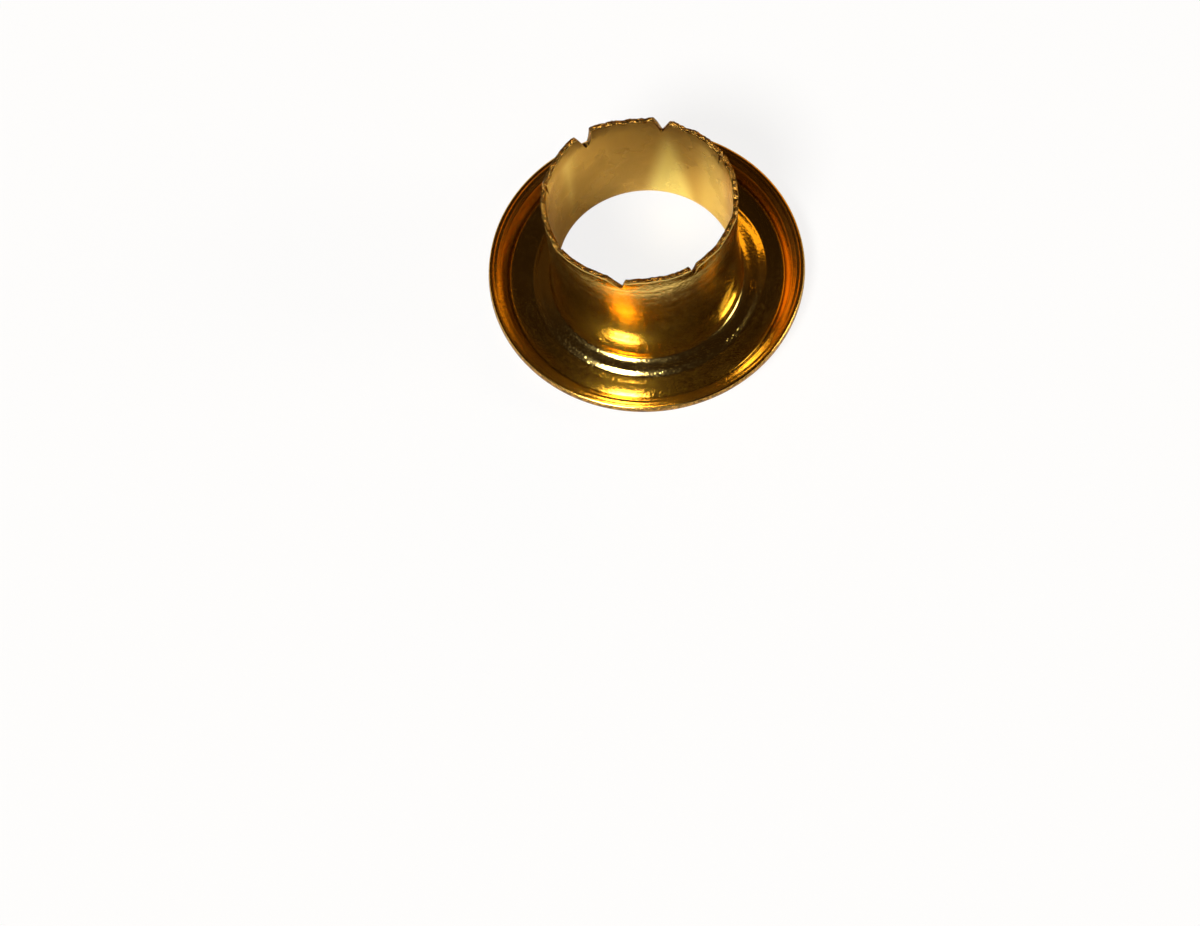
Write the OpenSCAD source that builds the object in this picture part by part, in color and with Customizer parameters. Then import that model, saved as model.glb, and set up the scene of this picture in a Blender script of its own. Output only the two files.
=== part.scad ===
// Split eyelet: one piece of brass sheet, drawn into a barrel with a domed flange.
// The barrel's rim is torn and split into petals. It stands on the crown of its dome.
// Z = 0 is the plane that the crown rests on, and the barrel points up +Z.

/* [Flange] */
// Diameter of the flange over its cut edge
flange_d = 9.0; // [8.9:0.1:12]
// Thickness of the sheet
sheet = 0.2; // [0.15:0.01:0.22]
// Width of the lip outside the dome, seen from above
lip_w = 0.26; // [0.15:0.01:0.35]
// Slope of the lip, falling towards the dome
lip_slope = 20; // [0:1:26]
// Height of the cut edge above the crown of the dome
dome_h = 0.64; // [0.5:0.01:0.74]
// Slope of the dome's outer wall
wall_slope = 50; // [45:1:70]
// Bend radius between the lip and the dome's outer wall
crease_r = 0.12; // [0.11:0.01:0.2]
// Bend radius at the foot of the dome's outer wall
foot_r = 0.3; // [0.2:0.01:0.45]

/* [Dome] */
// Slope of the dome's inner side
dome_slope = 25; // [15:1:32]
// Bend radius of the dome
dome_r = 1.3; // [0.9:0.05:1.45]
// Bend radius between the dome and the barrel
funnel_r = 0.75; // [0.5:0.01:0.8]
// How far each pressed ring lies outside the barrel
ring_out = [0.25, 0.43, 0.76]; // [0.2:0.01:0.8]
// Height of the pressed rings
ring_h = 0.025; // [0.01:0.005:0.04]
// Radius of each pressed ring's rounded top
ring_r = 0.12; // [0.08:0.01:0.2]

/* [Barrel] */
// Bore through the barrel
bore_d = 4.96; // [4:0.02:5.08]
// Overall height from the crown to the torn rim
height = 4.7; // [3.4:0.1:8]
// Thickness of the drawn wall at the torn rim
rim_wall = 0.14; // [0.08:0.01:0.19]
// Length over which the wall thins, below the petals
thin_l = 1.6; // [0.4:0.1:2.8]

/* [Torn rim] */
// Depth of the splits below the rim
split_depth = 0.5; // [0.25:0.05:1.2]
// Width of each split at its root
slit_w = 0.03; // [0.02:0.005:0.06]
// Unevenness of the torn edge
tear_h = 0.07; // [0:0.01:0.12]
// Angle of each split round the barrel
split_at = [25.5, 69.5, 120.5, 164, 208, 252, 297.5, 341.5]; // [0:0.5:360]
// How far each split opens clockwise at the rim, in degrees
open_cw = [1.5, 3.7, 9, 2, 1.5, 8, 2.7, 2]; // [1:0.1:12]
// How far each split opens anticlockwise at the rim, in degrees
open_ccw = [1.5, 6.3, 5.5, 1.5, 2, 3.3, 2.9, 1.5]; // [1:0.1:12]
// Outward lean of the petal that follows each split, in degrees
petal_lean = [5, 6, 9, 6, 5, 3, 3, 6]; // [0:1:12]

/* [Hidden] */
$fn = 96;
brass = [0.80, 0.54, 0.13];

petals = len(split_at);
bore_r = bore_d / 2;
barrel_r = bore_r + sheet;
// Outer radius of the wall where the petals grow out of it
rim_r = bore_r + rim_wall;
half_sheet = sheet / 2;
// Roots of the splits, where the petals begin to lean
root_z = height - split_depth;
// Length of straight wall that the petals share with the barrel
seat_l = 0.2;
// Angle that the slit at a split's root covers
slit_a = slit_w / bore_r * 180 / PI;
// Height above the root at which a split starts to open
slit_l = 0.04;
// Spare length of the petals, which the tear line takes off
spare = 0.3;
// Largest angle that one flat step of a bend covers
bend_step = 5;
// Steps along the height of a petal and round its tear line
petal_steps = 4;
tear_steps = 9;
// Waves of the torn edge: share of its unevenness, count round the rim and phase in degrees
tear_waves = [[0.45, 3, 40], [0.35, 11, 0], [0.2, 29, 75]];

// Straight slope between the dome's bend and the funnel's, and its width with both tangents
slope_l = 0.03;
dome_tangent = dome_r * tan(dome_slope / 2);
funnel_tangent = funnel_r * tan((90 - dome_slope) / 2);
slope_w = (funnel_tangent + slope_l + dome_tangent) * cos(dome_slope);

// Corners of the sheet's middle line, from the cut edge inwards and then up the barrel
neck_x = bore_r + half_sheet;
edge_p = [flange_d / 2 - half_sheet * sin(lip_slope), dome_h];
crease_p = edge_p - [lip_w, lip_w * tan(lip_slope)];
foot_p = [crease_p.x - (crease_p.y - half_sheet) / tan(wall_slope), half_sheet];
crown_p = [neck_x + slope_w, half_sheet];
neck_p = [neck_x, half_sheet + slope_w * tan(dome_slope)];
top_p = [neck_x, root_z];

function unit(v) = v / norm(v);
function half_angle(p, q, s) = acos(unit(p - q) * unit(s - q)) / 2;
function bend_centre(p, q, s, r) = q + unit(unit(p - q) + unit(s - q)) * r / sin(half_angle(p, q, s));
function bend_start(p, q, s, r) = q + unit(p - q) * r / tan(half_angle(p, q, s));
function heading(v) = atan2(v.y, v.x);
function turn(a) = a > 180 ? a - 360 : a < -180 ? a + 360 : a;

// One bend at corner q of the middle line, offset to the barrel side by off
function bend(p, q, s, r, off) =
    let (c = bend_centre(p, q, s, r),
         a = heading(bend_start(p, q, s, r) - c),
         da = turn(heading(bend_start(s, q, p, r) - c) - a),
         n = ceil(abs(da) / bend_step),
         rr = r + off * sign(da))
    [for (i = [0 : n]) c + rr * [cos(a + da * i / n), sin(a + da * i / n)]];

// One side of the flange, from the cut edge to the barrel
function flange_side(off) = concat(
    [edge_p + off * [-sin(lip_slope), cos(lip_slope)]],
    bend(edge_p, crease_p, foot_p, crease_r, off),
    bend(crease_p, foot_p, crown_p, foot_r, off),
    bend(foot_p, crown_p, neck_p, dome_r, off),
    bend(crown_p, neck_p, top_p, funnel_r, off));

function reversed(v) = [for (i = [len(v) - 1 : -1 : 0]) v[i]];

// Centres of the bends at the crown and at the neck, which lie above the sheet
crown_c = bend_centre(foot_p, crown_p, neck_p, dome_r);
neck_c = bend_centre(crown_p, neck_p, top_p, funnel_r);
neck_start = bend_start(crown_p, neck_p, top_p, funnel_r);

module flange_and_barrel() {
    rotate_extrude()
        polygon(concat(
            flange_side(half_sheet),
            [[barrel_r, root_z - seat_l - thin_l], [rim_r, root_z - seat_l], [rim_r, root_z], [bore_r, root_z]],
            reversed(flange_side(-half_sheet))));
}

// A pressed ring stands slightly proud of the dome on the barrel side, at radius x
module pressed_ring(x) {
    on_neck = x < neck_start.x;
    c = on_neck ? neck_c : crown_c;
    r = (on_neck ? funnel_r : dome_r) - half_sheet;
    down = unit([x - c.x, -sqrt(r ^ 2 - (x - c.x) ^ 2)]);
    rotate_extrude()
        translate(c + down * (r + ring_r - ring_h))
            circle(r = ring_r);
}

// Outward shift of a petal at a height above its root: it curls more towards its tip
function curl(lean, y) = y * tan(lean) * y / (split_depth + spare);

// The ring of sheet that one petal is a piece of. It shares the barrel's wall below the petal's root.
module petal_ring(i) {
    ys = [for (k = [0 : petal_steps]) (split_depth + spare) * k / petal_steps];
    rotate_extrude()
        polygon(concat(
            [[bore_r, root_z - seat_l], [rim_r, root_z - seat_l]],
            [for (y = ys) [rim_r + curl(petal_lean[i], y), root_z + y]],
            reversed([for (y = ys) [bore_r + curl(petal_lean[i], y), root_z + y]])));
}

// Ragged fall of the torn edge below the rim's height, at an angle round the barrel
function ragged(a) = tear_h * ([for (w = tear_waves) w[0] * sin(w[1] * a + w[2])] * [for (w = tear_waves) 1] - 1);

// The tear line of one petal: from a split, up its open side, along the torn edge and down again
function tear_line(i) =
    let (next = i + 1 < petals ? split_at[i + 1] : split_at[0] + 360,
         a = split_at[i] + open_ccw[i],
         b = next - open_cw[(i + 1) % petals])
    concat(
        [[split_at[i] + slit_a / 2, root_z + slit_l]],
        [for (k = [0 : tear_steps]) let (t = a + (b - a) * k / tear_steps) [t, height + ragged(t)]],
        [[next - slit_a / 2, root_z + slit_l]]);

// The room that one petal takes of its ring: between two splits, and up to its tear line
module petal_room(i) {
    line = tear_line(i);
    n = len(line);
    inside = bore_r - spare;
    outside = rim_r + 2 * spare;
    bottom = root_z - seat_l - spare;
    function at(r, a, z) = [r * cos(a), r * sin(a), z];
    points = [for (p = line) each
        [at(inside, p.x, bottom), at(outside, p.x, bottom), at(outside, p.x, p.y), at(inside, p.x, p.y)]];
    sides = [for (k = [0 : n - 2], m = [0 : 3])
        let (a = 4 * k + m, b = 4 * k + (m + 1) % 4)
        each [[a, b, b + 4], [a, b + 4, a + 4]]];
    polyhedron(points = points, faces = concat([[3, 2, 1, 0]], sides, [[for (m = [4 : -1 : 1]) 4 * n - m]]));
}

module split_eyelet() {
    color(brass)
        union() {
            flange_and_barrel();
            for (out = ring_out) pressed_ring(barrel_r + out);
            for (i = [0 : petals - 1])
                intersection() {
                    petal_ring(i);
                    petal_room(i);
                }
        }
}

split_eyelet();
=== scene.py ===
"""A split brass eyelet: its sheet, its finishes, and a small table-top studio."""

import math

import bpy
import numpy as np
from mathutils import Matrix, Vector, noise


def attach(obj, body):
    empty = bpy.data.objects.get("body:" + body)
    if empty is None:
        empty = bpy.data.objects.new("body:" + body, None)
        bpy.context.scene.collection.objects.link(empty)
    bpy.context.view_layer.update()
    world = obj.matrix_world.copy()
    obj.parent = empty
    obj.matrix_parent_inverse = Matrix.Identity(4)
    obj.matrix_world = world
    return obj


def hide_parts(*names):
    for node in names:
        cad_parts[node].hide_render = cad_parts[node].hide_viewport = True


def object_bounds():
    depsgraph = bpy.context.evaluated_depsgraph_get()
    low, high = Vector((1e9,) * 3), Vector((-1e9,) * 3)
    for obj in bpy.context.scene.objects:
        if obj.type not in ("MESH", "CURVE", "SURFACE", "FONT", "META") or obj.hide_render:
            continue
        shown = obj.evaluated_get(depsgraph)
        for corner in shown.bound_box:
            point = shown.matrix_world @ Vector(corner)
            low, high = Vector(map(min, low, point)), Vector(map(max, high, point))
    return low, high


bl_info = {
    "name": "Split Eyelet",
    "version": (1, 0, 0),
    "blender": (4, 5, 0),
    "location": "View3D > Sidebar > Eyelet",
    "description": "Makes a split brass eyelet standing on its domed flange",
    "category": "Add Mesh",
}

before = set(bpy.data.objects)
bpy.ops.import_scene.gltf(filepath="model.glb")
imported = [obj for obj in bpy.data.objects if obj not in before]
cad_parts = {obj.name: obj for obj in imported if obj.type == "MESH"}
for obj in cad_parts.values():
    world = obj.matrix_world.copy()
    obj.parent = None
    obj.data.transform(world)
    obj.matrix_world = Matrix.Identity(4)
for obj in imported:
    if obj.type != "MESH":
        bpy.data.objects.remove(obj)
CAD_BOX = [list(corner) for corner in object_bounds()]

MM = 0.001
DEG = math.pi / 180
TURN = 2 * math.pi
NODE = "split_eyelet"

# Finishes, in the order of the piece's material slots
POLISHED, DRAWN, TORN = range(3)

# The rim. Angles are in degrees, anticlockwise from +X, and heights and depths in mm.

# Each split: its angle, how far it opens clockwise and anticlockwise at the rim, its depth, and how
# its two sides rise: straight at 1, and at more, flat before they turn up
SPLITS = [
    (25.5, 1.5, 1.5, 0.45, 1, 1),
    (70.6, 4.6, 4.9, 0.55, 1, 0.9),
    (120.5, 5.6, 4.6, 0.58, 2.6, 0.9),
    (164.0, 2.0, 1.5, 0.42, 1, 1),
    (208.0, 1.5, 2.0, 0.40, 1, 1),
    (253.0, 8.5, 2.6, 0.50, 0.9, 1),
    (297.5, 2.7, 2.9, 0.42, 1, 1.3),
    (341.5, 2.0, 1.5, 0.40, 1, 1),
]
# How wide a stretch of columns moves to meet each corner of a split, in columns
CORNER_PULL = 0.9
# Outward lean of the petal that follows each split
PETAL_LEANS = [5.0, 6.0, 9.0, 6.0, 5.0, 3.0, 3.0, 6.0]
# The petals curve outwards from this far below the rim, and reach their lean this much higher
LEAN_DEPTH, LEAN_OVER = 0.5, 0.4
# Beside each split the petals flare out further: by how much, and over how many degrees
FLARE_BY, FLARE_SPREAD = 0.035, 7
# Waves of the torn edge: share of its unevenness, count round the rim and phase in degrees
TEAR_WAVES = [(0.45, 3, 40), (0.35, 11, 0), (0.2, 29, 75)]
# Half of how far those waves dip below the rim
TEAR_DEPTH = 0.07
# Teeth of the torn edge: their height, how fine they are, and their seed
TEETH = [(0.022, 22, 3.1), (0.026, 80, 8.7)]
# Places where the edge stands higher: angle, by how much, and half width in degrees
HUMPS = [(113, 0.10, 7), (130, 0.12, 5), (-65, 0.07, 5)]
# Share that is kept of what stands above the full height
OVER_TOP = 0.5
# The torn face across the sheet: how far its middle stands above the tear, and how far the face
# falls from there to its two sides
CREST, CREST_FALL = 0.02, 0.05
# Grains on the torn face, upwards and outwards: their size, how fine they are and the first row's
# seed, and the step in seed from row to row
GRAINS_UP, GRAINS_OUT, ROW_SEED = (0.030, 110, 1.7), (0.012, 130, 40.3), 5
# Samples and strength of the noise round the rim
NOISE_STEPS, NOISE_GAIN = 4096, 1.6
# The barrel is slightly oval and off centre above this height: by which share, and how far in mm
OVAL_Z, OVAL_BY, OVAL_SHIFT = 0.9, 0.02, 0.05

# The barrel side of the flange, in mm

# From the crease of the lip to the barrel: radius and slope in degrees, which is positive where the
# sheet rises towards the barrel. The drawing tools left a crisp step where the slope peaks near
# 3.15 mm and a soft ring at 3.44 mm.
SLOPES = [
    (4.16, -20), (4.115, -32), (4.08, -56), (4.04, -67), (3.95, -67), (3.92, -50), (3.89, -24),
    (3.85, -10), (3.76, -6), (3.66, -4), (3.58, -1), (3.50, 1), (3.465, 5), (3.44, 0), (3.41, -5),
    (3.36, 0.5), (3.29, 1), (3.25, 6), (3.215, 23), (3.18, 30), (3.11, 32), (3.08, 24), (3.05, 16),
    (2.99, 15), (2.92, 16), (2.87, 21), (2.835, 28), (2.79, 31), (2.765, 38), (2.74, 56),
    (2.715, 69), (2.70, 77), (2.686, 84),
]
# Step in radius at which the slopes are added up
SLOPE_STEP = 0.001
# Where the channel lies flat, one sheet's thickness above the floor
CHANNEL_R = 3.6
# The rounded cut edge: how far in from the edge and how far below the lip's line each point lies
CUT_EDGE = [(0, 0.038), (0.045, 0.012)]
# Rows on the lip, as shares of its width from the crease
LIP_ROWS = (0.65, 0.43, 0.2)
# On one side the funnel from the barrel to the channel is wider: its radii, the height below which
# it lies, and by how much it is wider; the middle and spread of that side, in degrees
FUNNEL_ZONE, WIDE_Z, WIDE_BY = (2.72, 3.8), 1.0, 0.19
WIDE_AT, WIDE_SPREAD = 10, 32

# The finishes. Patterns are sized in metres, and their bumps in mm.

# Skin of the polished brass, like the peel of an orange, and longer ripples under it
PEEL_SIZE, PEEL_BUMP = 0.09 * MM, 0.003
RIPPLE_SIZE, RIPPLE_BUMP = 0.4 * MM, 0.0025
# Pits, which are deeper on the pressed ring, and the patches in which they lie
PIT_SIZE, PIT_BUMP, RING_PIT_BUMP, PATCH_SIZE = 0.07 * MM, 0.001, 0.0022, 0.7 * MM
# Turning lines on the lip, and bands round the top of the barrel
TURNED_SIZE, TURNED_BUMP = 0.11 * MM, 0.02
BAND_SIZE, BAND_BUMP = 0.85 * MM, 0.014
# Dull specks and smears
SPECK_SIZE, SMEAR_SIZE = 0.055 * MM, 1.3 * MM
# Radii between which the ring and the crease come in and go out, and those over which the worn lip
# comes in; heights over which the bands come in
RING_IN, RING_OUT = (2.86 * MM, 3.0 * MM), (3.25 * MM, 3.5 * MM)
CREASE_IN, CREASE_OUT = (3.86 * MM, 3.93 * MM), (3.95 * MM, 4.01 * MM)
LIP_IN = (4.06 * MM, 4.12 * MM)
BANDS_IN = (1.9 * MM, 2.9 * MM)
# Painted shade in the crease, a dark brown over the brass there, and the tint of the worn lip
CREASE_SHADE, WORN_TINT = (0.15, 0.10, 0.025), (1.0, 0.80, 0.50)
# How the polished brass and the bore reflect at a grazing angle, beside their own colour
EDGE_TINT, BORE_EDGE_TINT = (1.0, 0.82, 0.36), (1.0, 0.82, 0.52)

# Grain, long waves and clouds of the bore
BORE_GRAIN_SIZE, BORE_GRAIN_BUMP = 0.05 * MM, 0.006
BORE_WAVE_SIZE, BORE_WAVE_BUMP = 1.6 * MM, 0.03
CLOUD_SIZE = 1.1 * MM
# Painted highlights, where the bore is painted brighter and yellower: angle in degrees, half width at
# the low and the high end, the heights of both ends in mm, and how bright
BORE_HIGHLIGHTS = [
    (67, 15, 2, 0.9, 4.1, 1.0),
    (30, 16, 12, 0.3, 4.9, 0.45),
    (139, 3, 6, 3.2, 4.3, 0.55),
]
# Colour towards which the painted highlights brighten the bore
BORE_HIGHLIGHT_COLOUR = (1.0, 0.86, 0.30)
# Soft edges of those places: at their sides, in degrees, and at the top, as shares of their height
BORE_HIGHLIGHT_SIDES, BORE_HIGHLIGHT_TOP = (-7.0, 6.0), (0.75, 1.1)

# Grain and dirt of the torn edge
TORN_GRAIN_SIZE, TORN_GRAIN_BUMP, DIRT_SIZE = 0.09 * MM, 0.07, 0.10 * MM

# The studio

# Each lamp: name, azimuth and elevation in degrees, distance and diameter in metres, power in W
# and colour
LAMPS = [
    ("key_lamp", -123.5, 48.5, 2.0, 0.66, 45.0, (1, 0.97, 0.93)),
    ("side_lamp", -9, 21, 2.0, 0.72, 12.0, (1, 0.90, 0.70)),
    ("warm_lamp", 58, 29, 2.0, 1.25, 6.0, (1, 0.46, 0.03)),
]
# Light of the dark room and of the warm glow on its far side, and the directions over which the
# glow comes in towards that side and ends upwards
ROOM, GLOW = (0.019, 0.0095, 0.003), (0.050, 0.024, 0.006)
GLOW_SIDE, GLOW_TOP = (0.05, 0.45), (0.74, 0.86)
# The floor's width in metres, and how much of it is plain white to the camera and in reflections
FLOOR_SIZE, FLOOR_SEEN, FLOOR_MIRRORED = 6.0, 0.85, 0.1
# Clouds on the floor: size in metres, how strong, and their colour
FLOOR_CLOUD_SIZE, FLOOR_CLOUD, FLOOR_CLOUD_COLOUR = 0.05, 0.02, (0.9, 0.9, 0.9)

# The camera's right, down and forward, and where the flange's centre lies along them, in flange
# radii; that centre and that radius in mm
CAMERA_AXES = [
    (0.99357, -0.10268, -0.0477), (-0.11320, -0.90121, -0.4183), (0.0, 0.42104, -0.9070),
]
CAMERA_TARGET = (0.292, -1.225, 22.015)
FLANGE_CENTRE, FLANGE_R = (0, 0, 0.64), 4.5
# Focal length and sensor width in mm, and the near and far ends of the view in metres
LENS, SENSOR, VIEW_ENDS = 105.0, 36.0, (0.005, 20.0)


class EyeletSizes(bpy.types.PropertyGroup):
    flange_d: bpy.props.FloatProperty(
        name="Flange diameter", description="Over the flange's cut edge",
        default=CAD_BOX[1][0] - CAD_BOX[0][0], unit="LENGTH", precision=5,
    )
    height: bpy.props.FloatProperty(
        name="Height", description="From the crown of the dome to the torn rim",
        default=4.7 * MM, unit="LENGTH", precision=5,
    )
    sheet: bpy.props.FloatProperty(
        name="Sheet", description="Thickness of the sheet",
        default=0.2 * MM, unit="LENGTH", precision=5,
    )
    rim_wall: bpy.props.FloatProperty(
        name="Rim wall", description="Thickness of the drawn wall at the torn rim",
        default=0.14 * MM, unit="LENGTH", precision=5,
    )
    bore_d: bpy.props.FloatProperty(
        name="Bore", description="Diameter of the bore through the barrel",
        default=4.96 * MM, unit="LENGTH", precision=5,
    )
    columns: bpy.props.IntProperty(
        name="Columns", description="Steps round the eyelet", default=480, min=96, max=560,
    )


class EyeletColours(bpy.types.PropertyGroup):
    brass: bpy.props.FloatVectorProperty(
        name="Polished brass", description="Colour of the polished outside",
        default=(0.82, 0.60, 0.19), subtype="COLOR", min=0, max=1,
    )
    drawn: bpy.props.FloatVectorProperty(
        name="Drawn bore", description="Colour of the dull, drawn bore",
        default=(0.66, 0.435, 0.13), subtype="COLOR", min=0, max=1,
    )
    torn: bpy.props.FloatVectorProperty(
        name="Torn edge", description="Colour of the fresh torn edge",
        default=(0.55, 0.29, 0.055), subtype="COLOR", min=0, max=1,
    )
    floor: bpy.props.FloatVectorProperty(
        name="Floor", description="Colour of the floor",
        default=(0.915, 0.93, 0.945), subtype="COLOR", min=0, max=1,
    )


# Shader maths as Python expressions


class Wire:
    """A shader socket that Python's arithmetic works on."""

    def __init__(self, finish, socket):
        self.finish, self.socket = finish, socket

    def math(self, operation, *values):
        return self.finish.node("Math", {"operation": operation}, dict(enumerate(values)))

    def __add__(self, other):
        return self.math("ADD", self, other)

    def __radd__(self, other):
        return self.math("ADD", other, self)

    def __sub__(self, other):
        return self.math("SUBTRACT", self, other)

    def __rsub__(self, other):
        return self.math("SUBTRACT", other, self)

    def __mul__(self, other):
        return self.math("MULTIPLY", self, other)

    def __rmul__(self, other):
        return self.math("MULTIPLY", other, self)

    def span(self, low, high):
        """0 below low, 1 above high, and smooth in between."""
        sockets = {"Value": self, "From Min": low, "From Max": high}
        return self.finish.node("MapRange", {"interpolation_type": "SMOOTHSTEP"}, sockets)

    def between(self, come_in, go_out):
        """1 between two soft edges and 0 outside them. Each edge is a low and a high value."""
        return self.span(*come_in) * (1 - self.span(*go_out))


def rgba(colour):
    """A colour as a socket takes it."""
    return colour if isinstance(colour, Wire) else (*colour, 1)


def darker(colour, share):
    return tuple(c * share for c in colour)


class Finish:
    """The node tree of a material or a world, with one method that adds any node."""

    # A Mix node's colours going in and out, among its sockets of other kinds
    MIX_A, MIX_B, MIX_RESULT = 6, 7, 2

    def __init__(self, owner):
        self.owner = owner
        self.owner.use_nodes = True
        self.tree = self.owner.node_tree
        self.tree.nodes.clear()

    def node(self, kind, settings=None, sockets=None, output=0):
        """Adds a node with its settings, then its values and links, and returns one of its outputs."""
        node = self.tree.nodes.new("ShaderNode" + kind)
        for name, value in (settings or {}).items():
            setattr(node, name, value)
        for name, value in (sockets or {}).items():
            if isinstance(value, Wire):
                self.tree.links.new(value.socket, node.inputs[name])
            else:
                node.inputs[name].default_value = value
        return Wire(self, node.outputs[output] if node.outputs else None)

    def place(self):
        return self.node("TexCoord", output="Object")

    def axis(self, place, name):
        """One coordinate of a place: X, Y or Z."""
        return self.node("SeparateXYZ", None, {0: place}, output=name)

    def radius(self, place):
        """Distance from the barrel's axis, in metres."""
        flat = self.node("VectorMath", {"operation": "MULTIPLY"}, {0: place, 1: (1, 1, 0)})
        return self.node("VectorMath", {"operation": "LENGTH"}, {0: flat}, output=1)

    def grain(self, place, size, detail=2.0, roughness=0.5, distortion=0.0):
        """Noise from 0 to 1 whose features are about size metres across."""
        sockets = {
            "Vector": place, "Scale": 1 / size, "Detail": detail,
            "Roughness": roughness, "Distortion": distortion,
        }
        return self.node("TexNoise", None, sockets)

    def lines(self, along, size):
        """Noise from 0 to 1 that changes along one value only, about every size metres."""
        return self.node("TexNoise", {"noise_dimensions": "1D"}, {"W": along, "Scale": 1 / size})

    def cells(self, place, size):
        """Distance from the middle of the nearest of many scattered cells, about size metres apart."""
        return self.node("TexVoronoi", None, {"Vector": place, "Scale": 1 / size})

    def mix(self, share, a, b, blend_type="MIX"):
        """Colour a where share is 0, and where it is 1, colour b, or b blended with a."""
        settings = {"data_type": "RGBA", "blend_type": blend_type}
        sockets = {"Factor": share, self.MIX_A: rgba(a), self.MIX_B: rgba(b)}
        return self.node("Mix", settings, sockets, output=self.MIX_RESULT)

    def bump(self, height_mm):
        """A normal from a height in mm."""
        return self.node("Bump", None, {"Height": height_mm, "Distance": MM, "Strength": 1.0})

    def shade(self, surface, output="Material"):
        """Ends the tree in a material's or a world's output, and returns what it belongs to."""
        self.node("Output" + output, None, {"Surface": surface})
        return self.owner


def new_finish(name):
    """The empty node tree of a new material."""
    return Finish(bpy.data.materials.new(name))


def polished_brass(colours):
    """Bright brass under thin lacquer: skin, smears, pits, drawing bands, painted shade in the crease, a
    worn lip.
    """
    f = new_finish("polished_brass")
    place = f.place()
    radius, up = f.radius(place), f.axis(place, "Z")
    ring = radius.between(RING_IN, RING_OUT)
    crease = radius.between(CREASE_IN, CREASE_OUT)
    lip = radius.span(*LIP_IN)
    dull = f.grain(place, SMEAR_SIZE, detail=4.0, roughness=0.6, distortion=0.4).span(0.50, 0.72)
    specks = f.grain(place, SPECK_SIZE, detail=1.0).span(0.46, 0.68)

    patches = f.grain(place, PATCH_SIZE, detail=1.0).span(0.44, 0.56)
    pits = (1 - f.cells(place, PIT_SIZE).span(0.05, 0.35)) * patches
    peel = f.grain(place, PEEL_SIZE, detail=1.0)
    ripples = f.grain(place, RIPPLE_SIZE, detail=2.0)
    turned = f.lines(radius, TURNED_SIZE) * lip
    bands = f.lines(up, BAND_SIZE) * up.span(*BANDS_IN)
    height = peel * PEEL_BUMP + ripples * RIPPLE_BUMP - pits * (ring * RING_PIT_BUMP + PIT_BUMP)
    height = height + turned * TURNED_BUMP + bands * BAND_BUMP

    colour = f.mix(dull * 0.3, colours.brass, darker(colours.brass, 0.75))
    # Painted shade: the brass in the crease is darkened towards a dark brown.
    colour = f.mix(crease * 0.85, colour, CREASE_SHADE)
    colour = f.mix(1.0, colour, f.mix(lip, (1, 1, 1), WORN_TINT), "MULTIPLY")
    return f.shade(f.node("BsdfPrincipled", None, {
        "Base Color": colour, "Metallic": 1.0, "Normal": f.bump(height),
        "Roughness": 0.12 + dull * 0.04 + lip * 0.08 + specks * (1 - lip) * 0.08,
        "Coat Weight": 0.15, "Coat Roughness": 0.1, "Specular Tint": rgba(EDGE_TINT),
    }))


def painted_bore_highlights(f, place):
    """How strongly the painted highlights brighten the bore, from 0 to 1."""
    x, y, z = (f.axis(place, name) for name in "XYZ")
    angle = y.math("ARCTAN2", y, x) * (1 / DEG)
    total = 0
    for at, low_half, high_half, low, high, share in BORE_HIGHLIGHTS:
        up = (z - low * MM) * (1 / ((high - low) * MM))
        half = up * (high_half - low_half) + low_half
        away = angle.math("ABSOLUTE", angle - at)
        inside = 1 - (away - half).span(*BORE_HIGHLIGHT_SIDES)
        total = inside * (1 - up.span(*BORE_HIGHLIGHT_TOP)) * share + total
    return total


def drawn_brass(colours):
    """The dull bore: fine grain, long waves left by the punch, clouds and painted highlights."""
    f = new_finish("drawn_brass")
    place = f.place()
    grain = f.grain(place, BORE_GRAIN_SIZE, detail=2.0)
    wave = f.grain(place, BORE_WAVE_SIZE, detail=0.0)
    cloud = f.grain(place, CLOUD_SIZE, detail=3.0).span(0.38, 0.66)
    clouded = f.mix(cloud, colours.drawn, darker(colours.drawn, 0.86))
    return f.shade(f.node("BsdfPrincipled", None, {
        # Painted highlights: bright yellow patches mixed into the bore's colour
        "Base Color": f.mix(painted_bore_highlights(f, place), clouded, BORE_HIGHLIGHT_COLOUR), "Metallic": 1.0,
        "Roughness": 0.24 + cloud * 0.10, "Specular Tint": rgba(BORE_EDGE_TINT),
        "Normal": f.bump(grain * BORE_GRAIN_BUMP + wave * BORE_WAVE_BUMP),
    }))


def torn_brass(colours):
    """The torn edge: coarse brown grains, some of which glint."""
    f = new_finish("torn_brass")
    place = f.place()
    grain = f.grain(place, TORN_GRAIN_SIZE, detail=3.0, roughness=0.6)
    dirt = f.grain(place, DIRT_SIZE, detail=2.0).span(0.42, 0.60)
    return f.shade(f.node("BsdfPrincipled", None, {
        "Base Color": f.mix(dirt, colours.torn, darker(colours.torn, 0.35)),
        "Metallic": 1.0, "Roughness": 0.22, "Normal": f.bump(grain * TORN_GRAIN_BUMP),
    }))


# The section of the sheet, in mm: x is the radius and y the height


def bend(p, q, s, radius, off, step):
    """The bend at corner q of the middle line p, q, s, moved by off towards the barrel side."""
    half = (p - q).angle(s - q) / 2
    centre = q + ((p - q).normalized() + (s - q).normalized()).normalized() * (radius / math.sin(half))
    ends = [q + (v - q).normalized() * (radius / math.tan(half)) - centre for v in (p, s)]
    start, end = (math.atan2(way.y, way.x) for way in ends)
    turn = (end - start + math.pi) % TURN - math.pi
    count = max(2, math.ceil(abs(turn) / step))
    radius += off * (1 if turn > 0 else -1)
    angles = [start + turn * i / count for i in range(count + 1)]
    return [centre + radius * Vector((math.cos(a), math.sin(a))) for a in angles]


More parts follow.
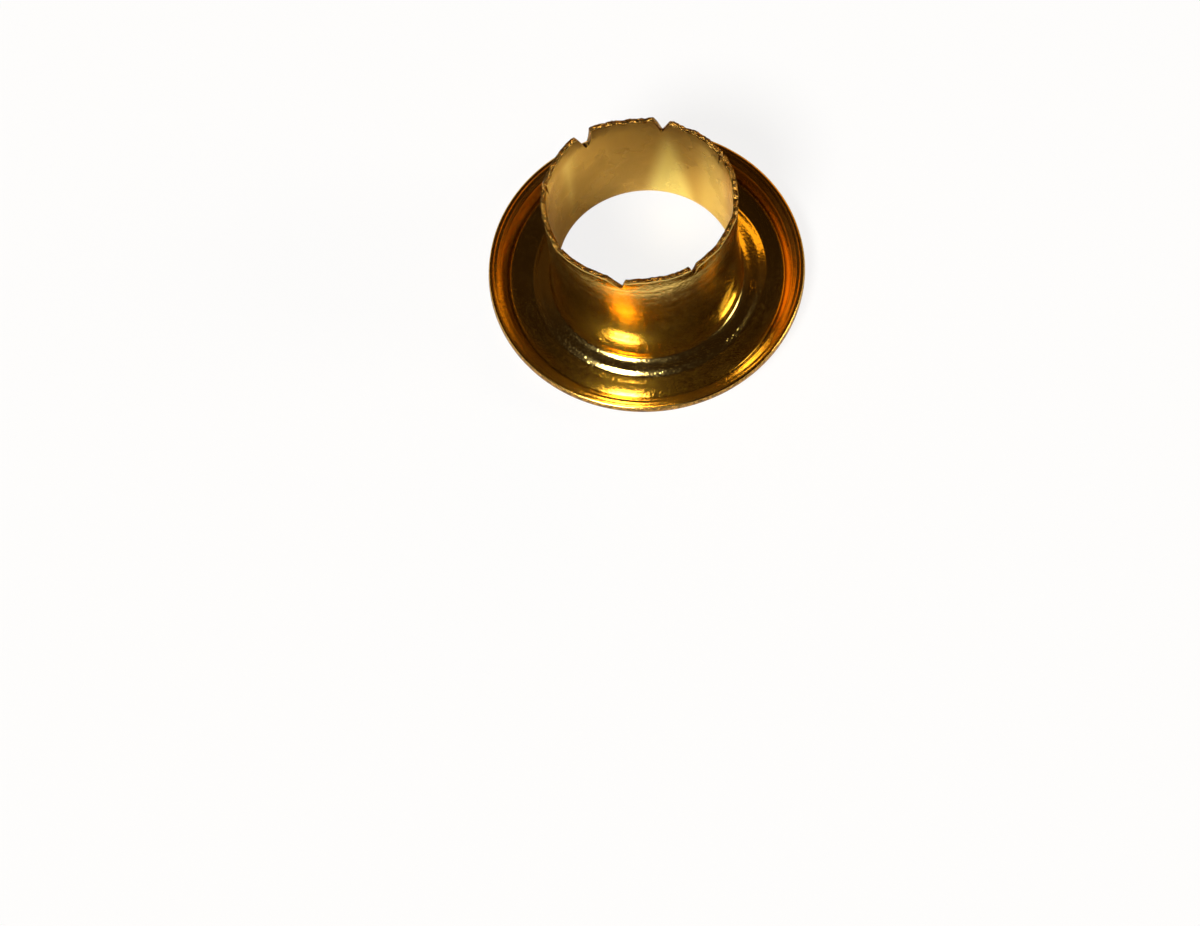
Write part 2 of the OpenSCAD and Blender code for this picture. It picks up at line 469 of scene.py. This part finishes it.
class Section:
    """The closed outline of the sheet, from the cut edge up the barrel and back down the bore.

    Each point has its share of the way up a petal, which is 0 below the petals, and its share of
    the way across the torn face, which is -1 off it.
    """

    LIP_W, LIP_SLOPE, DOME_H, WALL_SLOPE = 0.26, 20 * DEG, 0.64, 50 * DEG
    CREASE_R, FOOT_R, DOME_SLOPE, DOME_R, FUNNEL_R = 0.12, 0.3, 25 * DEG, 1.3, 0.75
    # The straight stretch between the dome and the funnel
    SLOPE_L = 0.03
    # The bends of the face side from the lip to the barrel, and the turn between their rows
    BENDS = [(CREASE_R, 12 * DEG), (FOOT_R, 7 * DEG), (DOME_R, 2 * DEG), (FUNNEL_R, 4 * DEG)]
    # The cut edge on the face side, as shares of half the sheet: where its flat ends, and how far
    # in from the edge its corner is
    EDGE_FLAT, EDGE_INSET = 0.62, 0.45
    # Rows of the barrel side: least and most distance, and the turn in degrees that starts a row
    ROW_MIN, ROW_MAX, ROW_TURN = 0.012, 0.06, 3.0
    # Height of the petals, and where and over what height the wall gets thinner
    PETAL_ZONE, THIN_Z, THIN_L = 0.7, 1.2, 1.5
    PETAL_ROWS, BARREL_ROWS, TORN_ROWS = 14, 8, 5
    # The torn face's rows are spun this much higher than the petals, which tells them apart
    TORN_LIFT = 0.001
    # The bore's finish goes on over one part in this many of the face side's rows
    BORE_PARTS = 4

    def __init__(self, sizes):
        self.height, self.sheet = sizes.height / MM, sizes.sheet / MM
        self.rim_wall, self.bore_r = sizes.rim_wall / MM, sizes.bore_d / MM / 2
        self.edge_r = sizes.flange_d / MM / 2 - self.sheet / 2 * math.sin(self.LIP_SLOPE)
        self.petal_z = self.height - self.PETAL_ZONE
        self.points, self.petal_t, self.torn_u = [], [], []
        self.build()

    def add(self, point, petal_t=0.0, torn_u=-1.0):
        self.points.append((point[0], point[1]))
        self.petal_t.append(petal_t)
        self.torn_u.append(torn_u)

    def face_side(self):
        """The underside of the sheet from its cut edge to the bore: four bends of its middle line."""
        half = self.sheet / 2
        slope_w = (
            self.FUNNEL_R * math.tan((90 * DEG - self.DOME_SLOPE) / 2)
            + self.SLOPE_L + self.DOME_R * math.tan(self.DOME_SLOPE / 2)
        ) * math.cos(self.DOME_SLOPE)
        neck_x = self.bore_r + half
        edge = Vector((self.edge_r, self.DOME_H))
        crease = edge - Vector((self.LIP_W, self.LIP_W * math.tan(self.LIP_SLOPE)))
        foot = Vector((crease.x - (crease.y - half) / math.tan(self.WALL_SLOPE), half))
        crown = Vector((neck_x + slope_w, half))
        neck = Vector((neck_x, half + slope_w * math.tan(self.DOME_SLOPE)))
        corners = [edge, crease, foot, crown, neck, Vector((neck_x, self.petal_z))]
        out = Vector((-math.sin(self.LIP_SLOPE), math.cos(self.LIP_SLOPE))) * -half
        inset = Vector((-math.cos(self.LIP_SLOPE), -math.sin(self.LIP_SLOPE))) * half
        points = [edge + out * self.EDGE_FLAT, edge + out + inset * self.EDGE_INSET]
        for i, (radius, step) in enumerate(self.BENDS):
            points += bend(*corners[i:i + 3], radius, -half, step)
        return points

    def barrel_side(self):
        """The top of the sheet from its cut edge to the barrel, with rows close where it turns."""
        radii, slopes = np.array(SLOPES).T
        r = np.arange(radii[0], radii[-1], -SLOPE_STEP)
        slope = np.interp(-r, -radii, slopes)
        z = np.concatenate([[0], np.cumsum(np.tan(slope[1:] * DEG) * SLOPE_STEP)])
        z += self.sheet - z[np.argmin(np.abs(r - CHANNEL_R))]
        points, last = [(r[0], z[0])], 0
        for i in range(1, len(r)):
            far = math.hypot(r[i] - r[last], z[i] - z[last])
            turned = abs(slope[i] - slope[last]) > self.ROW_TURN
            if far > self.ROW_MAX or (far > self.ROW_MIN and turned):
                points.append((r[i], z[i]))
                last = i
        width = self.edge_r - r[0]
        rise = width * math.tan(self.LIP_SLOPE)
        edge = [(self.edge_r - inset, z[0] + rise - drop) for inset, drop in CUT_EDGE]
        lip = [(r[0] + width * u, z[0] + rise * u) for u in LIP_ROWS]
        return edge + lip + points

    def wall(self, z):
        """Thickness of the barrel's wall at a height."""
        share = min(max((z - self.THIN_Z) / self.THIN_L, 0), 1)
        return self.sheet + (self.rim_wall - self.sheet) * share * share * (3 - 2 * share)

    def build(self):
        up, down = self.barrel_side(), self.face_side()
        for point in up:
            self.add(point)
        low = up[-1][1]
        climb = self.petal_z - low
        rows = [low + climb * (i + 1) / self.BARREL_ROWS for i in range(self.BARREL_ROWS)]
        for z in rows:
            self.add((self.bore_r + self.wall(z), z))
        shares = [(i + 1) / self.PETAL_ROWS for i in range(self.PETAL_ROWS)]
        for t in shares:
            self.add((self.bore_r + self.rim_wall, self.petal_z + t * self.PETAL_ZONE), t)
        for i in range(1, self.TORN_ROWS):
            u = i / self.TORN_ROWS
            self.add((self.bore_r + self.rim_wall * (1 - u), self.height + self.TORN_LIFT), 1.0, u)
        for t in reversed(shares):
            self.add((self.bore_r, self.petal_z + t * self.PETAL_ZONE), t)
        for z in reversed(rows):
            self.add((self.bore_r, z))
        self.bore_end = len(self.points) + len(down) // self.BORE_PARTS
        for point in reversed(down):
            self.add(point)


# What was done to the sheet: tearing, leaning, pressing


def smooth(t):
    """0 below 0, 1 above 1, and smooth in between."""
    t = np.clip(t, 0, 1)
    return t * t * (3 - 2 * t)


def signed(angles, centre):
    """Angles from centre, in degrees from -180 to 180."""
    return (np.degrees(angles) - centre + 180) % 360 - 180


def bell(away, spread):
    """1 in the middle, and falling smoothly to both sides."""
    return np.exp(-((away / spread) ** 2))


def rough(angles, fine, seed):
    """Smooth seeded noise round the rim, from about -1 to 1, with more waves where fine is higher."""
    table = np.linspace(0, TURN, NOISE_STEPS + 1)
    values = [
        noise.noise(Vector((math.cos(a) * fine, math.sin(a) * fine, seed))) * NOISE_GAIN for a in table
    ]
    return np.interp(angles % TURN, table, values)


def drawn_to_splits(angles, columns):
    """Columns near a split move so that one lies on each of its corners."""
    pitch = 360 / columns
    out = np.degrees(angles)
    for at, cw, ccw, *_ in SPLITS:
        for corner in (at - cw, at, at + ccw):
            off = corner - round(corner / pitch) * pitch
            out += off * bell(signed(angles, corner) + off, pitch * CORNER_PULL)
    return np.radians(out)


def tear_height(angles, height):
    """Height of the torn edge round the barrel, in mm."""
    waves = sum(share * np.sin(count * angles + phase * DEG) for share, count, phase in TEAR_WAVES)
    z = height - TEAR_DEPTH * (1 - waves)
    for by, fine, seed in TEETH:
        z += by * rough(angles, fine, seed)
    z += sum(by * bell(signed(angles, at), wide) for at, by, wide in HUMPS)
    for at, cw, ccw, depth, cw_rise, ccw_rise in SPLITS:
        away = signed(angles, at)
        share = np.clip(np.abs(away) / np.where(away < 0, cw, ccw), 0, 1)
        share = share ** np.where(away < 0, cw_rise, ccw_rise)
        z = np.minimum(z, height - depth + (z - height + depth) * share)
    return np.where(z > height, height + (z - height) * OVER_TOP, z)


def lean_at(angles):
    """Lean of the petals round the barrel, in degrees: each has its own, from split to split."""
    lean = np.zeros_like(angles)
    for i, (at, *_) in enumerate(SPLITS):
        span = (SPLITS[(i + 1) % len(SPLITS)][0] - at) % 360
        lean[(np.degrees(angles) - at) % 360 < span] = PETAL_LEANS[i]
    return lean


def widened(radius, z, angles):
    """The funnel between the barrel and the channel is wider on one side."""
    low, high = FUNNEL_ZONE
    share = np.clip((radius - low) / (high - low), 0, 1)
    side = bell(signed(angles, WIDE_AT), WIDE_SPREAD)
    return radius + np.where(z < WIDE_Z, WIDE_BY * side * np.sin(math.pi * share) ** 2, 0)


def torn_and_leaned(radius, z, angles, section, petal_t, torn_u):
    """The petals end at the tear, lean and flare outwards, and the torn face gets its grains."""
    tear = tear_height(angles, section.height)
    z = np.where(petal_t > 0, section.petal_z + petal_t * (tear - section.petal_z), z)
    up = np.maximum(z - (section.height - LEAN_DEPTH), 0)
    radius = radius + up * up / (2 * LEAN_OVER) * np.tan(np.radians(lean_at(angles)))
    for at, _, _, depth, _, _ in SPLITS:
        radius = radius + FLARE_BY * bell(signed(angles, at), FLARE_SPREAD) * smooth(up / depth)
    for row, u in enumerate(np.unique(torn_u[torn_u >= 0])):
        face = torn_u == u
        grains_up, grains_out = (
            by * rough(angles[face], fine, seed + ROW_SEED * row)
            for by, fine, seed in (GRAINS_UP, GRAINS_OUT)
        )
        z[face] += CREST - CREST_FALL * (2 * u - 1) ** 2 + grains_up
        radius[face] += grains_out
    return radius, z


def eyelet_mesh(sizes):
    """The sheet's section spun into a closed shell, and the section itself."""
    section = Section(sizes)
    bpy.ops.object.select_all(action="DESELECT")
    bpy.ops.mesh.primitive_circle_add(vertices=len(section.points), radius=MM, fill_type="NOTHING")
    piece = bpy.context.object
    outline = np.array([(x * MM, 0, z * MM) for x, z in section.points])
    piece.data.vertices.foreach_set("co", outline.ravel())
    bpy.ops.object.mode_set(mode="EDIT")
    bpy.ops.mesh.select_all(action="SELECT")
    bpy.ops.mesh.spin(steps=sizes.columns, angle=TURN, center=(0, 0, 0), axis=(0, 0, 1))
    bpy.ops.mesh.select_all(action="SELECT")
    bpy.ops.mesh.remove_doubles(threshold=0.0005 * MM)
    bpy.ops.mesh.normals_make_consistent(inside=False)
    bpy.ops.object.mode_set(mode="OBJECT")
    return piece, section


def rows_of(co, section, batch=4096):
    """Which point of the section each vertex was spun from, worked out for a batch at a time."""
    radius = np.hypot(co[:, 0], co[:, 1])
    points = np.array(section.points)
    row = np.zeros(len(co), int)
    for start in range(0, len(co), batch):
        part = slice(start, start + batch)
        gap = (radius[part, None] - points[:, 0]) ** 2 + (co[part, 2, None] - points[:, 1]) ** 2
        row[part] = gap.argmin(axis=1)
    return row


class EYELET_OT_make_sheet(bpy.types.Operator):
    """Makes the eyelet: one sheet, drawn into a barrel with a domed flange, its rim split and torn"""

    bl_idname = "eyelet.make_sheet"
    bl_label = "Split eyelet"
    bl_options = {"REGISTER", "UNDO"}

    def execute(self, context):
        sizes, colours = context.scene.eyelet_sizes, context.scene.eyelet_colours
        piece, section = eyelet_mesh(sizes)
        piece.name = "brass_split_eyelet"
        row = self.press(piece.data, section, sizes.columns)
        for finish in (polished_brass, drawn_brass, torn_brass):
            piece.data.materials.append(finish(colours))
        self.paint(piece.data, row, section)
        bpy.ops.object.shade_smooth()
        piece.data.update()
        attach(piece, "root")
        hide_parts(NODE)
        return {"FINISHED"}

    def press(self, mesh, section, columns):
        """Tears, leans and presses the round shell, and returns the section's point of each vertex."""
        co = np.empty(len(mesh.vertices) * 3)
        mesh.vertices.foreach_get("co", co)
        co = co.reshape(-1, 3) / MM
        row = rows_of(co, section)
        petal_t, torn_u = np.array(section.petal_t)[row], np.array(section.torn_u)[row]
        radius, z = np.hypot(co[:, 0], co[:, 1]), co[:, 2]
        angles = drawn_to_splits(np.arctan2(co[:, 1], co[:, 0]) % TURN, columns)
        radius = widened(radius, z, angles)
        radius, z = torn_and_leaned(radius, z, angles, section, petal_t, torn_u)
        oval = smooth((z - OVAL_Z) / (section.height - OVAL_Z))
        x = radius * np.cos(angles) * (1 + OVAL_BY * oval) - OVAL_SHIFT * oval
        y = radius * np.sin(angles) * (1 - OVAL_BY * oval)
        mesh.vertices.foreach_set("co", (np.column_stack([x, y, z]) * MM).ravel())
        return row

    def paint(self, mesh, row, section):
        """Gives the bore and the torn edge their own finishes."""
        corners = np.empty(len(mesh.loops), int)
        mesh.loops.foreach_get("vertex_index", corners)
        rows = row[corners].reshape(-1, 4)
        low, high = rows.min(axis=1), rows.max(axis=1)
        torn = np.flatnonzero(np.array(section.torn_u) >= 0)
        finish = np.full(len(rows), POLISHED)
        finish[(low > torn[-1]) & (high < section.bore_end)] = DRAWN
        finish[(high >= torn[0]) & (low <= torn[-1])] = TORN
        mesh.polygons.foreach_set("material_index", finish)


class EYELET_OT_make_stage(bpy.types.Operator):
    """Makes the floor, the lamps, the world and the camera"""

    bl_idname = "eyelet.make_stage"
    bl_label = "Studio"
    bl_options = {"REGISTER", "UNDO"}

    def execute(self, context):
        self.floor(context)
        self.world(context)
        for lamp in LAMPS:
            self.lamp(context, *lamp)
        self.camera(context)
        return {"FINISHED"}

    def floor(self, context):
        """A pale floor, nearly white to the camera, that keeps the eyelet's shadow."""
        bpy.ops.object.select_all(action="DESELECT")
        bpy.ops.mesh.primitive_plane_add(size=FLOOR_SIZE, location=(0, 0, 0))
        floor = context.object
        floor.name = "floor"
        f = new_finish("pale_floor")
        cloud = f.grain(f.place(), FLOOR_CLOUD_SIZE, detail=2.0)
        colour = f.mix(cloud * FLOOR_CLOUD, context.scene.eyelet_colours.floor, FLOOR_CLOUD_COLOUR)
        sockets = {"Base Color": colour, "Roughness": 0.8, "Specular IOR Level": 0.2}
        paper = f.node("BsdfPrincipled", None, sockets)
        white = f.node("Emission", None, {"Color": (1, 1, 1, 1), "Strength": 1.0})
        seen = f.node("LightPath", output="Is Camera Ray")
        mirrored = f.node("LightPath", output="Is Glossy Ray")
        lit = seen * FLOOR_SEEN + mirrored * FLOOR_MIRRORED
        floor.data.materials.append(f.shade(f.node("MixShader", None, {0: lit, 1: paper, 2: white})))

    def world(self, context):
        """A dark room, with a warm glow low on the far side."""
        f = Finish(bpy.data.worlds.new("studio"))
        way = f.node("TexCoord", output="Generated")
        glow = f.axis(way, "Y").span(*GLOW_SIDE) * (1 - f.axis(way, "Z").span(*GLOW_TOP))
        back = f.node("Background", None, {"Color": f.mix(glow, ROOM, GLOW), "Strength": 1.0})
        context.scene.world = f.shade(back, "World")

    def lamp(self, context, name, azimuth, elevation, distance, size, power, colour):
        """A disc lamp that faces the eyelet."""
        data = bpy.data.lights.new(name, "AREA")
        data.shape, data.size, data.energy, data.color = "DISK", size, power, colour
        lamp = bpy.data.objects.new(name, data)
        context.scene.collection.objects.link(lamp)
        a, e = azimuth * DEG, elevation * DEG
        way = Vector((math.cos(a) * math.cos(e), math.sin(a) * math.cos(e), math.sin(e)))
        lamp.location = way * distance
        lamp.rotation_euler = way.to_track_quat("Z", "Y").to_euler()

    def camera(self, context):
        """The camera, which sees the flange's centre where the photograph shows it."""
        data = bpy.data.cameras.new("camera")
        data.lens, data.sensor_width = LENS, SENSOR
        data.clip_start, data.clip_end = VIEW_ENDS
        camera = bpy.data.objects.new("camera", data)
        context.scene.collection.objects.link(camera)
        axes = [Vector(axis) for axis in CAMERA_AXES]
        target = sum((axis * by for axis, by in zip(axes, CAMERA_TARGET)), Vector())
        place = (Vector(FLANGE_CENTRE) - FLANGE_R * target) * MM
        right, down, ahead = (axis.normalized() for axis in axes)
        rows = zip(right, -down, -ahead, place)
        camera.matrix_world = Matrix([*rows, (0, 0, 0, 1)])
        context.scene.camera = camera


class EYELET_PT_panel(bpy.types.Panel):
    """Lists the eyelet's sizes, colours and pieces"""

    bl_label = "Split Eyelet"
    bl_idname = "EYELET_PT_panel"
    bl_space_type = "VIEW_3D"
    bl_region_type = "UI"
    bl_category = "Eyelet"

    def draw(self, context):
        for group in (context.scene.eyelet_sizes, context.scene.eyelet_colours):
            for name in group.__annotations__:
                self.layout.prop(group, name)
        for operator in (EYELET_OT_make_sheet, EYELET_OT_make_stage):
            self.layout.operator(operator.bl_idname)


CLASSES = (EyeletSizes, EyeletColours, EYELET_OT_make_sheet, EYELET_OT_make_stage, EYELET_PT_panel)


def register():
    for cls in CLASSES:
        bpy.utils.register_class(cls)
    bpy.types.Scene.eyelet_sizes = bpy.props.PointerProperty(type=EyeletSizes)
    bpy.types.Scene.eyelet_colours = bpy.props.PointerProperty(type=EyeletColours)


def unregister():
    del bpy.types.Scene.eyelet_sizes
    del bpy.types.Scene.eyelet_colours
    for cls in reversed(CLASSES):
        bpy.utils.unregister_class(cls)


def main():
    register()
    bpy.context.scene.view_settings.view_transform = "Standard"
    bpy.ops.eyelet.make_sheet()
    bpy.ops.eyelet.make_stage()


if __name__ == "__main__":
    main()
